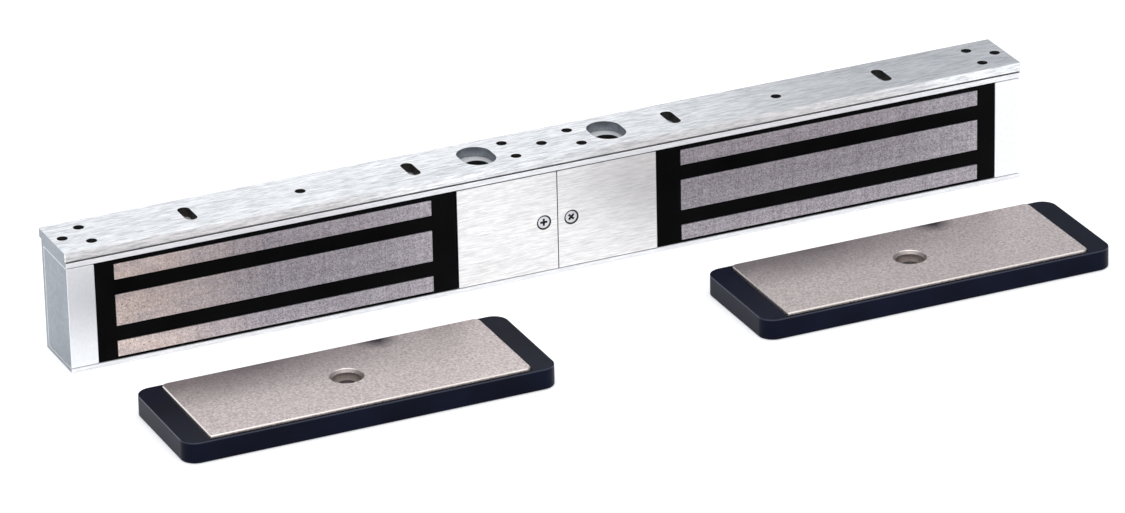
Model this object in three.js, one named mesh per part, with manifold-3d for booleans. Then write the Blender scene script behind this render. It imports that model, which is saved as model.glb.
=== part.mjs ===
// Double magnetic door lock for a pair of doors: a long aluminium body with two
// electromagnets, and the two armature assemblies that go on the door leaves.
// Millimetres, +Z up. X runs along the lock body, the magnet faces look along -Y,
// and Z = 0 is the surface that the body and both armatures stand on.

import * as THREE from 'three';
import { mergeVertices } from 'three/addons/utils/BufferGeometryUtils.js';
import Module from 'manifold-3d';

const wasm = await Module();
wasm.setup();

// ---------------------------------------------------------------- dimensions

const GAP = 0.3; // left between pieces that touch
const OVERCUT = 1; // how far a cutting tool runs past the face it cuts
const SIDES = { left: -1, right: 1 };

const BODY = { length: 533.4, depth: 36.5, height: 65.1 };
const PLATE = { thickness: 5.0 };
const CHANNEL = { inset: 0.5, depth: 34.8, top: 59.8, topFlange: 3.1, bottomFlange: 2.2, web: 3.0 };
const FACE = { low: CHANNEL.bottomFlange, high: CHANNEL.top - CHANNEL.topFlange };
const FACE_HEIGHT = FACE.high - FACE.low;
const FACE_MIDDLE = (FACE.high + FACE.low) / 2;
const INNER_DEPTH = CHANNEL.depth - CHANNEL.web;
const MID_DEPTH = BODY.depth / 2;

// Distances along the body, from its end towards its middle.
const FROM_END = { block: 15.1, magnet: 210.7, coreStart: 25.6, coreEnd: 197.0 };

// Holes in the mounting plate: x from the body's end, y from the plate's centre line.
const HOLE_RADIUS = 2.75;
const HOLE_OFFSET = 9.1;
const END_HOLE = 5.8;
const END_PAIR = 17.9;
const SINGLE_HOLE = 133.5;
const SLOTS = { at: [72.5, 193.9], width: 6.4, length: 16.4 };
const CENTRE_PAIR = 18.3; // from the middle of the body
const WIRE_HOLE = { fromMiddle: 36.4, width: 18, length: 24 };
const WIRE_PASSAGE_RADIUS = 6.35; // the round hole below it, in the shell

// E-shaped magnet core: two outer legs, one wide middle leg, a yoke behind them.
const CORE = { outerLeg: 8.4, slot: 8.3, middleLeg: 16.9, legDepth: 21, depth: 29.5, lowered: 0.45 };
const CORE_HEIGHT = 2 * (CORE.outerLeg + CORE.slot) + CORE.middleLeg;
const CORE_BOTTOM = FACE_MIDDLE - CORE_HEIGHT / 2 - CORE.lowered;
const COIL = { clearance: 0.35, endTurn: 8, front: 3, depth: 17.6, outerCorner: 7, innerCorner: 1 };
const POTTING = { recess: 0.4, back: INNER_DEPTH - 0.4 };

const COVER = { thickness: 2.3, split: 0.3 };
const COVER_LEG = { thickness: 1.5, depth: 12, height: 30, inset: 0.2, overlap: 1 };
const COVER_SCREW = {
  x: 7.7, headRadius: 3.2, headDepth: 2.0, shankRadius: 1.7, length: 15, neck: 0.1, tip: 0.8,
};
const SCREW_SINK = { radius: 4.0, clear: 2.1, sunk: 0.35 };
const RECESS = { width: 1.2, span: 4.0, depth: 1.3 };
const POST = { radius: 3.6, bore: 2.2, boreDepth: 16 };
const BODY_SCREW = { headRadius: 4.25, headHeight: 5, shankRadius: 2.4, bottom: 0.4, top: 63.4, tip: 0.6 };
const SOCKET = { across: 4.2, depth: 2.6 };
const SCREW_PASSAGE = { head: 4.75, shank: 2.9 };

// Electronics behind the covers.
const BOARD = { width: 36, height: 44, thickness: 1.6, middle: 33.5, front: 26.2 };
const TERMINAL = { width: 22, depth: 9, height: 11, middle: 33.5, low: 9, ways: 4 };
const TERMINAL_ENTRY = { side: 3.4, depth: 4 };
const SURGE = { radius: 5.2, thickness: 4, rim: 0.8, x: 40, z: 42 };
const SPACER = { radius: 2.4, x: 15, z: [12, 47] };
const LEAD = { radius: 0.9, passage: 1.5, depth: 17.5, heights: [22, 26.5], spread: 8, sides: 8, steps: 12 };

// Armature: a moulded tray that holds a floating steel plate, lying with its steel up.
const ARMATURE = { gapToBody: 54.5, fromEnd: 111.3 };
const TRAY = { length: 198, width: 70, height: 11, corner: 8, floor: 2.0, bolt: 5 };
const STEEL = { length: 170.5, width: 66.2, corner: 3, bottom: 3.6, top: 12.4, float: 0.6 };
const BOLT_SEAT = { mouth: 8.5, chamfer: 1.6, radius: 7.2, ledge: 7.9, bore: 4.6 };
const WASHER = { radius: 13, bore: 5.3, recess: 13.5, recessTop: 6.1 };
const WASHER_STACK = { lower: [2.3, 2.9], rubber: [3.2, 4.9], upper: [5.2, 5.8] };
const PIN = { radius: 2.5, x: 60, bottom: 0.6, top: 9.2, chamfer: 0.5 };

const BODY_HALF = BODY.length / 2;
const FACE_Y = (ARMATURE.gapToBody + TRAY.width - BODY.depth) / 2; // puts Y = 0 mid-way, front to back
const ARMATURE_Y = FACE_Y - ARMATURE.gapToBody - TRAY.width / 2;

// ----------------------------------------------------------------- materials

function finish(color, roughness, metalness) {
  return new THREE.MeshStandardMaterial({ color, roughness, metalness });
}

const ALUMINIUM = finish(0xc9ccd2, 0.38, 0.9);
const CAST_GREY = finish(0xaeb0bd, 0.5, 0.8);
const CORE_STEEL = finish(0x8e8783, 0.45, 0.9);
const ARMATURE_STEEL = finish(0x8c857e, 0.4, 0.9);
const POTTING_BLACK = finish(0x101012, 0.55, 0);
const TRAY_BLACK = finish(0x16171c, 0.5, 0);
const COPPER = finish(0xa65a2e, 0.4, 0.8);
const ZINC = finish(0xb9bbc0, 0.35, 0.9);
const BOARD_GREEN = finish(0x1f5a35, 0.5, 0);
const TERMINAL_GREEN = finish(0x2f7a52, 0.5, 0);
const SURGE_BLUE = finish(0x2c4f8f, 0.5, 0);
const LEAD_RED = finish(0x9a1f1c, 0.5, 0);
const RUBBER = finish(0x1b1b1b, 0.9, 0);

// ------------------------------------------------------------------- helpers

const HOLE_SEGMENTS = 16;
const END_SEGMENTS = 8; // round an obround's half circle
const CORNER_SEGMENTS = 6;

// Points along an arc, in order of angle; both ends are included.
function arc(cx, cy, radius, from, to, segments) {
  return Array.from({ length: segments + 1 }, (_, i) => {
    const angle = from + ((to - from) * i) / segments;
    return new THREE.Vector2(cx + radius * Math.cos(angle), cy + radius * Math.sin(angle));
  });
}

function circle(cx, cy, radius, segments = HOLE_SEGMENTS) {
  return arc(cx, cy, radius, 0, 2 * Math.PI, segments).slice(0, -1);
}

function rectangle(width, height) {
  const [x, y] = [width / 2, height / 2];
  return [[-x, -y], [x, -y], [x, y], [-x, y]].map(([u, v]) => new THREE.Vector2(u, v));
}

function roundedRectangle(width, height, radius) {
  const [x, y] = [width / 2 - radius, height / 2 - radius];
  const corners = [[x, -y, -1], [x, y, 0], [-x, y, 1], [-x, -y, 2]];
  return corners.flatMap(([cx, cy, quarter]) => {
    const from = (quarter * Math.PI) / 2;
    return arc(cx, cy, radius, from, from + Math.PI / 2, CORNER_SEGMENTS);
  });
}

// A slot with round ends, its long way along Y.
function obround(cx, cy, width, length) {
  const radius = width / 2;
  const straight = length / 2 - radius;
  return [
    ...arc(cx, cy + straight, radius, 0, Math.PI, END_SEGMENTS),
    ...arc(cx, cy - straight, radius, Math.PI, 2 * Math.PI, END_SEGMENTS),
  ];
}

function extrude(outline, depth, holes = []) {
  const shape = new THREE.Shape(outline);
  shape.holes = holes.map((points) => new THREE.Path(points));
  return new THREE.ExtrudeGeometry(shape, { depth, bevelEnabled: false });
}

const X = new THREE.Vector3(1, 0, 0);
const Y = new THREE.Vector3(0, 1, 0);
const Z = new THREE.Vector3(0, 0, 1);
const ALONG_X = new THREE.Matrix4().makeBasis(Y, Z, X); // an outline in YZ, extruded along +X
const ALONG_Y = new THREE.Matrix4().makeBasis(Z, X, Y); // an outline in ZX, extruded along +Y

const alongX = (outline, depth) => extrude(outline, depth).applyMatrix4(ALONG_X);
const alongY = (outline, depth, holes) => extrude(outline, depth, holes).applyMatrix4(ALONG_Y);

// A turned piece about Z; its profile holds [radius, z] pairs that start and end on the axis.
function turned(profile, segments = 20) {
  const points = profile.map(([radius, z]) => new THREE.Vector2(radius, z));
  return new THREE.LatheGeometry(points, segments).rotateX(Math.PI / 2);
}

// A turned piece about Y, its profile's z becoming y.
const turnedAlongY = (profile, segments) => turned(profile, segments).rotateX(-Math.PI / 2);

const block = (width, depth, height) => new THREE.BoxGeometry(width, depth, height);

// A closed three.js geometry as a solid that can be cut and joined.
function solid(geometry) {
  const bare = geometry.clone();
  bare.deleteAttribute('normal');
  bare.deleteAttribute('uv');
  const merged = mergeVertices(bare, 1e-4);
  return new wasm.Manifold(new wasm.Mesh({
    numProp: 3,
    vertProperties: new Float32Array(merged.attributes.position.array),
    triVerts: new Uint32Array(merged.index.array),
  }));
}

function cut(geometry, ...tools) {
  const result = tools.reduce((left, tool) => left.subtract(solid(tool)), solid(geometry));
  return fromSolid(result);
}

function join(geometry, ...others) {
  return fromSolid(others.reduce((sum, other) => sum.add(solid(other)), solid(geometry)));
}

function fromSolid(result) {
  const { vertProperties, triVerts } = result.getMesh();
  const geometry = new THREE.BufferGeometry();
  geometry.setAttribute('position', new THREE.BufferAttribute(vertProperties, 3));
  geometry.setIndex(new THREE.BufferAttribute(triVerts, 1));
  geometry.computeVertexNormals();
  return geometry;
}

function piece(name, geometry, material, x = 0, y = 0, z = 0) {
  const mesh = new THREE.Mesh(geometry, material);
  mesh.name = name;
  mesh.position.set(x, y, z);
  return mesh;
}

// ------------------------------------------------------- body: plate and shell

function wireHole(side) {
  return obround(side * WIRE_HOLE.fromMiddle, 0, WIRE_HOLE.width, WIRE_HOLE.length);
}

function mountingPlate() {
  const holes = [circle(0, 0, HOLE_RADIUS)];
  for (const side of Object.values(SIDES)) {
    const x = (fromEnd) => side * (BODY_HALF - fromEnd);
    holes.push(circle(x(END_HOLE), 0, HOLE_RADIUS), circle(x(SINGLE_HOLE), 0, HOLE_RADIUS), wireHole(side));
    for (const offset of [-HOLE_OFFSET, HOLE_OFFSET]) {
      holes.push(circle(x(END_PAIR), offset, HOLE_RADIUS), circle(side * CENTRE_PAIR, offset, HOLE_RADIUS));
    }
    for (const at of SLOTS.at) holes.push(obround(x(at), 0, SLOTS.width, SLOTS.length));
  }
  const geometry = extrude(rectangle(BODY.length, BODY.depth), PLATE.thickness, holes);
  return piece('mounting_plate', geometry, ALUMINIUM, 0, MID_DEPTH, BODY.height - PLATE.thickness);
}

// The end screws pass up through the bottom flange, the end block and the top flange.
function screwPassage(radius, side, low, high) {
  return turned([[0, low], [radius, low], [radius, high], [0, high]], HOLE_SEGMENTS)
    .translate(side * (BODY_HALF - END_HOLE), MID_DEPTH, 0);
}

function housingChannel() {
  const length = BODY.length - 2 * CHANNEL.inset;
  const outline = [
    [0, 0], [CHANNEL.depth, 0], [CHANNEL.depth, CHANNEL.top], [0, CHANNEL.top],
    [0, FACE.high], [INNER_DEPTH, FACE.high], [INNER_DEPTH, FACE.low], [0, FACE.low],
  ].map(([y, z]) => new THREE.Vector2(y, z));
  const reach = CHANNEL.topFlange + 2 * OVERCUT;
  const tools = Object.values(SIDES).flatMap((side) => [
    extrude(circle(side * WIRE_HOLE.fromMiddle, 0, WIRE_PASSAGE_RADIUS), reach)
      .translate(0, MID_DEPTH, FACE.high - OVERCUT),
    screwPassage(SCREW_PASSAGE.head, side, -OVERCUT, FACE.low + OVERCUT),
    screwPassage(SCREW_PASSAGE.shank, side, FACE.high - OVERCUT, CHANNEL.top + OVERCUT),
  ]);
  const geometry = cut(alongX(outline, length).translate(-length / 2, 0, 0), ...tools);
  return piece('housing_channel', geometry, ALUMINIUM);
}

function endBlock(name, side) {
  const length = FROM_END.block - CHANNEL.inset;
  const depth = INNER_DEPTH - GAP;
  const x = side * (BODY_HALF - CHANNEL.inset - length / 2);
  const shape = block(length, depth, FACE_HEIGHT - 2 * GAP).translate(x, depth / 2, FACE_MIDDLE);
  const headTop = BODY_SCREW.bottom + BODY_SCREW.headHeight + GAP;
  const geometry = cut(
    shape,
    screwPassage(SCREW_PASSAGE.head, side, 0, headTop),
    screwPassage(SCREW_PASSAGE.shank, side, headTop - OVERCUT, FACE.high),
  );
  return piece(name, geometry, CAST_GREY);
}

// Socket-head screw that hangs the body from the mounting plate.
function bodyScrew(name, side) {
  const { headRadius, headHeight, shankRadius, bottom, top, tip } = BODY_SCREW;
  const length = top - bottom;
  const shape = turned([
    [0, 0], [headRadius, 0], [headRadius, headHeight], [shankRadius, headHeight],
    [shankRadius, length - tip], [shankRadius - tip, length], [0, length],
  ], HOLE_SEGMENTS);
  const hexagon = extrude(circle(0, 0, SOCKET.across / Math.sqrt(3), 6), SOCKET.depth + OVERCUT)
    .translate(0, 0, -OVERCUT);
  const x = side * (BODY_HALF - END_HOLE);
  return piece(name, cut(shape, hexagon), ZINC, x, MID_DEPTH, bottom);
}

// ---------------------------------------------------------- body: the magnets

// The E outline of the core in YZ, grown by a margin where a pocket for it is wanted.
function coreOutline(margin = 0) {
  const legs = [CORE.outerLeg, CORE.middleLeg, CORE.outerLeg];
  const back = CORE.depth + margin;
  const points = [];
  let z = CORE_BOTTOM;
  const edges = legs.map((leg) => {
    const edge = [z - margin, z + leg + margin];
    z += leg + CORE.slot;
    return edge;
  });
  const front = -2 * margin;
  points.push([front, edges[0][0]], [back, edges[0][0]], [back, edges[2][1]], [front, edges[2][1]]);
  for (const i of [2, 1]) {
    points.push([front, edges[i][0]], [CORE.legDepth - margin, edges[i][0]]);
    points.push([CORE.legDepth - margin, edges[i - 1][1]], [front, edges[i - 1][1]]);
  }
  return points.map(([y, height]) => new THREE.Vector2(y, height));
}

const CORE_LENGTH = FROM_END.coreEnd - FROM_END.coreStart;
const coreMiddle = (side) => side * (BODY_HALF - (FROM_END.coreStart + FROM_END.coreEnd) / 2);

function coreShape(side, margin = 0) {
  const length = CORE_LENGTH + 2 * margin;
  return alongX(coreOutline(margin), length).translate(coreMiddle(side) - length / 2, 0, 0);
}

// The winding is a flat-sided ring round the core's middle leg.
function coilShape(side, margin = 0) {
  const { clearance, endTurn, front, depth, outerCorner, innerCorner } = COIL;
  const innerHeight = CORE.middleLeg + 2 * (clearance - margin);
  const outerHeight = CORE.middleLeg + 2 * (CORE.slot - clearance + margin);
  const innerLength = CORE_LENGTH + 2 * (clearance - margin);
  const outerLength = CORE_LENGTH + 2 * (clearance + endTurn + margin);
  const inner = roundedRectangle(innerHeight, innerLength, innerCorner).reverse();
  const middle = CORE_BOTTOM + CORE_HEIGHT / 2;
  return alongY(roundedRectangle(outerHeight, outerLength, outerCorner), depth + 2 * margin, [inner])
    .translate(coreMiddle(side), front - margin, middle);
}

function potting(name, side) {
  const length = FROM_END.magnet - FROM_END.block - 2 * GAP;
  const depth = POTTING.back - POTTING.recess;
  const x = side * (BODY_HALF - (FROM_END.magnet + FROM_END.block) / 2);
  const shape = block(length, depth, FACE_HEIGHT - 2 * GAP)
    .translate(x, POTTING.recess + depth / 2, FACE_MIDDLE);
  const passages = LEAD.heights.map((z) => {
    const reach = FROM_END.magnet - FROM_END.coreEnd;
    const start = BODY_HALF - FROM_END.coreEnd - COIL.endTurn / 2;
    const tube = turned([[0, 0], [LEAD.passage, 0], [LEAD.passage, reach], [0, reach]], 8);
    return tube.rotateY((-side * Math.PI) / 2).translate(side * start, LEAD.depth, z);
  });
  const geometry = cut(shape, coreShape(side, GAP), coilShape(side, GAP), ...passages);
  return piece(name, geometry, POTTING_BLACK);
}

// ------------------------------------------- body: covers and what is behind them

function coverPlate(name, side) {
  const outer = BODY_HALF - FROM_END.magnet - GAP;
  const width = outer - COVER.split / 2;
  const { headDepth, x } = COVER_SCREW;
  const { radius, clear } = SCREW_SINK;
  const plate = block(width, COVER.thickness, FACE_HEIGHT - 2 * GAP)
    .translate(side * (outer - width / 2), COVER.thickness / 2, FACE_MIDDLE);
  const { thickness, depth, height, inset, overlap } = COVER_LEG;
  const leg = block(thickness, depth, height)
    .translate(side * (outer - inset - thickness / 2), depth / 2 + overlap, FACE_MIDDLE);
  const back = COVER.thickness + OVERCUT;
  const flare = (OVERCUT * (radius - clear)) / headDepth;
  const sink = turnedAlongY([
    [0, -OVERCUT], [radius + flare, -OVERCUT], [clear, headDepth], [clear, back], [0, back],
  ]).translate(side * x, 0, FACE_MIDDLE);
  return piece(name, cut(join(plate, leg), sink), ALUMINIUM);
}

// Countersunk cross-recess screw, its head just below the cover's face.
function coverScrew(name, side) {
  const { x, headRadius, headDepth, shankRadius, length, neck, tip } = COVER_SCREW;
  const shape = turnedAlongY([
    [0, 0], [headRadius, 0], [shankRadius, headDepth - neck], [shankRadius, length - tip],
    [shankRadius - tip, length], [0, length],
  ]);
  const arm = () => block(RECESS.span, RECESS.depth * 2, RECESS.width);
  const recess = join(arm(), arm().rotateY(Math.PI / 2));
  if (side > 0) recess.rotateY(Math.PI / 4);
  return piece(name, cut(shape, recess), ZINC, side * x, SCREW_SINK.sunk, FACE_MIDDLE);
}

function coverPost(name, side) {
  const start = COVER.thickness + GAP;
  const length = INNER_DEPTH - GAP - start;
  const shape = turnedAlongY([[0, 0], [POST.radius, 0], [POST.radius, length], [0, length]], 6);
  const bore = turnedAlongY([
    [0, -OVERCUT], [POST.bore, -OVERCUT], [POST.bore, POST.boreDepth], [0, POST.boreDepth],
  ], 12);
  return piece(name, cut(shape, bore), ZINC, side * COVER_SCREW.x, start, FACE_MIDDLE);
}

function circuitBoard(name, side) {
  const shape = block(BOARD.width, BOARD.thickness, BOARD.height);
  return piece(name, shape, BOARD_GREEN, side * BOARD.middle, BOARD.front + BOARD.thickness / 2, FACE_MIDDLE);
}

function boardSpacer(name, side, z) {
  const start = BOARD.front + BOARD.thickness + GAP;
  const length = INNER_DEPTH - GAP - start;
  const shape = turnedAlongY([[0, 0], [SPACER.radius, 0], [SPACER.radius, length], [0, length]], 6);
  return piece(name, shape, ZINC, side * (BOARD.middle + SPACER.x * side), start, z);
}

function terminalBlock(name, side) {
  const { width, depth, height, ways } = TERMINAL;
  const { side: entry, depth: entryDepth } = TERMINAL_ENTRY;
  const pitch = width / ways;
  const entries = Array.from({ length: ways }, (_, i) => {
    const x = (i - (ways - 1) / 2) * pitch;
    return block(entry, entryDepth * 2, entry).translate(x, -depth / 2, -height / 5);
  });
  const shape = cut(block(width, depth, height), ...entries);
  const y = BOARD.front - GAP - depth / 2;
  return piece(name, shape, TERMINAL_GREEN, side * TERMINAL.middle, y, TERMINAL.low + height / 2);
}

function surgeSuppressor(name, side) {
  const { radius, thickness, rim, x, z } = SURGE;
  const shape = turnedAlongY([
    [0, 0], [radius - rim, 0], [radius, rim],
    [radius, thickness - rim], [radius - rim, thickness], [0, thickness],
  ], HOLE_SEGMENTS);
  return piece(name, shape, SURGE_BLUE, side * x, BOARD.front - GAP - thickness, z);
}

// Coil lead, from the winding through the potting to the top of the terminal block.
function coilLead(name, side, index) {
  const magnetEdge = BODY_HALF - FROM_END.magnet;
  const start = BODY_HALF - FROM_END.coreEnd - COIL.clearance - COIL.endTurn - 2 * GAP;
  const z = LEAD.heights[index];
  const end = TERMINAL.middle + (index - 0.5) * LEAD.spread;
  const entry = TERMINAL.low + TERMINAL.height + GAP;
  const depth = BOARD.front - TERMINAL.depth / 2;
  const route = new THREE.CatmullRomCurve3([
    [start, LEAD.depth, z], [magnetEdge, LEAD.depth, z], [magnetEdge - 5, LEAD.depth + 1, z + 2],
    [end + 3, depth - 2, z + 5], [end, depth, entry + 3], [end, depth, entry],
  ].map(([x, y, height]) => new THREE.Vector3(side * x, y, height)), false, 'centripetal');
  const shape = new THREE.ExtrudeGeometry(new THREE.Shape(circle(0, 0, LEAD.radius, LEAD.sides)), {
    steps: LEAD.steps, extrudePath: route, bevelEnabled: false,
  });
  return piece(name, shape, LEAD_RED);
}

// ------------------------------------------------------------------ armatures

function armatureTray(name) {
  const { length, width, corner, float } = STEEL;
  const pocket = extrude(roundedRectangle(length + 2 * float, width + 2 * float, corner + float), TRAY.height)
    .translate(0, 0, TRAY.floor);
  const depth = TRAY.floor + 2 * OVERCUT;
  const drill = (x, radius) => extrude(circle(x, 0, radius), depth).translate(0, 0, -OVERCUT);
  const pinRoom = PIN.radius + float;
  const shape = cut(
    extrude(roundedRectangle(TRAY.length, TRAY.width, TRAY.corner), TRAY.height),
    pocket, drill(0, TRAY.bolt), drill(-PIN.x, pinRoom), drill(PIN.x, pinRoom),
  );
  return piece(name, shape, TRAY_BLACK);
}

// Steel plate with a countersunk and stepped bolt hole, a washer recess and two pin holes below.
function armatureSteel(name) {
  const { mouth, chamfer, radius, ledge, bore } = BOLT_SEAT;
  const flare = (OVERCUT * (mouth - radius)) / chamfer;
  const low = STEEL.bottom - OVERCUT;
  const high = STEEL.top + OVERCUT;
  const boltHole = turned([
    [0, low], [WASHER.recess, low], [WASHER.recess, WASHER.recessTop], [bore, WASHER.recessTop],
    [bore, ledge], [radius, ledge], [radius, STEEL.top - chamfer], [mouth + flare, high], [0, high],
  ], 32);
  const pinHole = (x) => extrude(circle(x, 0, PIN.radius + GAP), PIN.top + GAP - low).translate(0, 0, low);
  const blank = extrude(roundedRectangle(STEEL.length, STEEL.width, STEEL.corner), STEEL.top - STEEL.bottom)
    .translate(0, 0, STEEL.bottom);
  return piece(name, cut(blank, boltHole, pinHole(-PIN.x), pinHole(PIN.x)), ARMATURE_STEEL);
}

function ringWasher(name, [low, high], material) {
  const hole = circle(0, 0, WASHER.bore, 24).reverse();
  const shape = extrude(circle(0, 0, WASHER.radius, 24), high - low, [hole]);
  return piece(name, shape, material, 0, 0, low);
}

function guidePin(name, x) {
  const { radius, bottom, top, chamfer } = PIN;
  const shape = turned([
    [0, bottom], [radius - chamfer, bottom], [radius, bottom + chamfer],
    [radius, top - chamfer], [radius - chamfer, top], [0, top],
  ], 12);
  return piece(name, shape, ZINC, x, 0, 0);
}

function armature(label, side) {
  const group = new THREE.Group();
  group.position.set(side * (BODY_HALF - ARMATURE.fromEnd), ARMATURE_Y, 0);
  group.add(
    armatureTray(`armature_tray_${label}`),
    armatureSteel(`armature_steel_${label}`),
    ringWasher(`lower_washer_${label}`, WASHER_STACK.lower, ZINC),
    ringWasher(`rubber_washer_${label}`, WASHER_STACK.rubber, RUBBER),
    ringWasher(`upper_washer_${label}`, WASHER_STACK.upper, ZINC),
    guidePin(`guide_pin_${label}_a`, -PIN.x),
    guidePin(`guide_pin_${label}_b`, PIN.x),
  );
  return group;
}

// ------------------------------------------------------------------- assembly

function lockBody() {
  const group = new THREE.Group();
  group.position.set(0, FACE_Y, 0);
  group.add(mountingPlate(), housingChannel());
  for (const [label, side] of Object.entries(SIDES)) {
    group.add(
      endBlock(`end_block_${label}`, side),
      bodyScrew(`body_screw_${label}`, side),
      piece(`core_${label}`, coreShape(side), CORE_STEEL),
      piece(`coil_${label}`, coilShape(side), COPPER),
      potting(`potting_${label}`, side),
      coverPlate(`cover_plate_${label}`, side),
      coverScrew(`cover_screw_${label}`, side),
      coverPost(`cover_post_${label}`, side),
      circuitBoard(`circuit_board_${label}`, side),
      terminalBlock(`terminal_block_${label}`, side),
      surgeSuppressor(`surge_suppressor_${label}`, side),
      coilLead(`coil_lead_${label}_a`, side, 0),
      coilLead(`coil_lead_${label}_b`, side, 1),
    );
    SPACER.z.forEach((z, i) => group.add(boardSpacer(`board_spacer_${label}_${'ab'[i]}`, side, z)));
  }
  return group;
}

const lock = new THREE.Group();
lock.add(lockBody());
for (const [label, side] of Object.entries(SIDES)) lock.add(armature(label, side));

export default lock;
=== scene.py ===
"""Double magnetic door lock with its two armatures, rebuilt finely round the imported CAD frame."""

import math

import bmesh
import bpy
from mathutils import Matrix, Vector
from mathutils.geometry import tessellate_polygon


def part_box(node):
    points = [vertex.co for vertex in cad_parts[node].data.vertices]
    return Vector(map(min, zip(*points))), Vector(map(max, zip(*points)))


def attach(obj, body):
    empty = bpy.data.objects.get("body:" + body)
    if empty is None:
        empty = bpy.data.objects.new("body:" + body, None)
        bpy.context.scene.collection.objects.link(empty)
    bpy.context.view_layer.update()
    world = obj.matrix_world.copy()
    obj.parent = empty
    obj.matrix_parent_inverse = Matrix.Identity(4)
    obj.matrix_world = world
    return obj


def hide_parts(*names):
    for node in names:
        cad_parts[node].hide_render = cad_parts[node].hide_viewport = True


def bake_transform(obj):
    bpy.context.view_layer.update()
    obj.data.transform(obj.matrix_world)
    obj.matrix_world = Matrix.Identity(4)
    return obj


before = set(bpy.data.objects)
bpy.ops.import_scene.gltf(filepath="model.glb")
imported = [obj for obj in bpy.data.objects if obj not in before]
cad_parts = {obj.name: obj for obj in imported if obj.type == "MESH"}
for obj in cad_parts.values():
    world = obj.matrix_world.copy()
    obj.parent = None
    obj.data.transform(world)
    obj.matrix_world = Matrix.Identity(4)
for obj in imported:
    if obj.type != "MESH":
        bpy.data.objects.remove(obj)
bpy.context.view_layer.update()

MM = 0.001
SIDES = {"left": -1, "right": 1}
SHARP_ANGLE = math.radians(33)
MERGE = 1e-4  # mm


def box(node):
    """Lowest and highest corner of a CAD node, in millimetres."""
    low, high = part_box(node)
    return low / MM, high / MM


# ---------------------------------------------------------------- dimensions (mm)

EDGE = 0.3  # usual rounding of a machined edge
FINE_EDGE = 0.1  # a deburred hole or a small part
BODY_LOW, BODY_HIGH = box("housing_channel")
PLATE_LOW, PLATE_HIGH = box("mounting_plate")
HALF = PLATE_HIGH.x
FACE_Y = BODY_LOW.y
MID_Y = (PLATE_LOW.y + PLATE_HIGH.y) / 2
FLANGE = {"top": 3.1, "bottom": 2.2, "web": 3.0}
FACE_LOW = BODY_LOW.z + FLANGE["bottom"]
FACE_HIGH = BODY_HIGH.z - FLANGE["top"]
FACE_MIDDLE = (FACE_LOW + FACE_HIGH) / 2

HOLE_RADIUS = 2.75
HOLE_OFFSET = 9.1
SINGLE_HOLES = [5.8, 133.5]  # from the end of the plate
HOLE_PAIR = 17.9
CENTRE_PAIR = 18.3  # from the middle
SLOTS = {"at": [72.5, 193.9], "width": 6.4, "length": 16.4}
WIRE_HOLE = {"at": 36.4, "width": 18.0, "length": 24.0, "passage": 6.35}
SCREW_PASSAGE = {"head": 4.75, "shank": 2.9, "shoulder": 5.7}

SINK = {"radius": 4.0, "clear": 2.1, "depth": 2.0}
SCREW = {"head": 3.2, "shank": 1.7, "head_depth": 1.9, "pitch": 0.7, "tip": 1.0}
RECESS = {"span": 4.0, "floor": 1.9, "width": 1.2, "depth": 1.3}
COVER_SHEET = {"thickness": 2.3, "screw": 7.7}  # the screw's place is from the middle of the body
COVER_LEG = {"thickness": 1.5, "height": 30.0, "inset": 0.2}
POST = {"across": 6.2, "bore": 2.2, "depth": 16.0, "chamfer": 0.8, "countersink": 0.5}
BODY_SCREW = {"head_height": 5.0, "shank": 2.4, "pitch": 0.8, "plain": 30.0, "taper": 0.7}
SOCKET = {"across": 4.2, "depth": 2.6}
THREAD_DEPTH = 0.36  # as a share of the pitch

CORE = {"outer_leg": 8.4, "slot": 8.3, "middle_leg": 16.9, "leg_depth": 21.0}
COIL = {"corner": 7.0, "turns": 20, "ridge": 0.12, "mouth": 0.5, "inner_corner": 1.0, "inner_height": 17.6}
LEAD = {"passage": 1.5, "depth": 17.5, "heights": {"a": 22.0, "b": 26.5}}
POCKET_GAP = 0.3  # round the core and the coil, in the potting

BOARD_HOLE = {"inset": 3.2, "radius": 1.1}
CHIP = {"length": 2.0, "width": 1.25, "height": 0.6, "row": 4.1, "column": 4.6}
CHIP_PAD = {"from_middle": 1.2, "length": 0.7, "width": 1.3, "height": 0.25}
WAY = {"count": 4, "entry": 3.4, "entry_depth": 4.0, "well": 1.9, "well_depth": 2.4, "screw": 1.6}
CLAMP_SCREW = {"low": 2.6, "high": 1.2, "slot_low": 1.8, "slot_length": 4.0, "slot_width": 0.5}

BOLT_HOLE = {"mouth": 8.5, "chamfer": 1.6, "radius": 7.2, "ledge": 7.9, "bore": 4.6}
WASHER = {"bore": 5.3, "recess": 13.5, "recess_top": 6.1}
TRAY = {"corner": 8.0, "floor": 2.0, "bolt": 5.0, "float": 0.6, "rim": 1.5}
STEEL = {"corner": 3.2, "sharp": 0.5, "chamfer": 0.5}
PIN = {"room": 3.1, "hole": 2.8, "hole_top": 9.5}


# ------------------------------------------------------------------------ outlines
# An outline is a function of how far it is grown, and gives (x, y) points anticlockwise.


def arc(cx, cy, radius, start, sweep, steps):
    """Points round part of a circle, with both its start and its sweep in quarter turns."""
    angles = [(start + sweep * i / steps) * math.pi / 2 for i in range(steps + 1)]
    return [(cx + radius * math.cos(a), cy + radius * math.sin(a)) for a in angles]


def circle(cx=0.0, cy=0.0, radius=0.0, steps=48):
    return lambda grow: arc(cx, cy, radius + grow, 0, 4, steps)[:-1]


def hexagon(cx, cy, across):
    return lambda grow: arc(cx, cy, (across / 2 + grow) / math.cos(math.pi / 6), 0, 4, 6)[:-1]


def obround(cx, cy, width, length, steps=20):
    """A slot with round ends, its long way along Y."""
    straight = (length - width) / 2

    def at(grow):
        radius = width / 2 + grow
        return arc(cx, cy + straight, radius, 0, 2, steps) + arc(cx, cy - straight, radius, 2, 2, steps)

    return at


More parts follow.
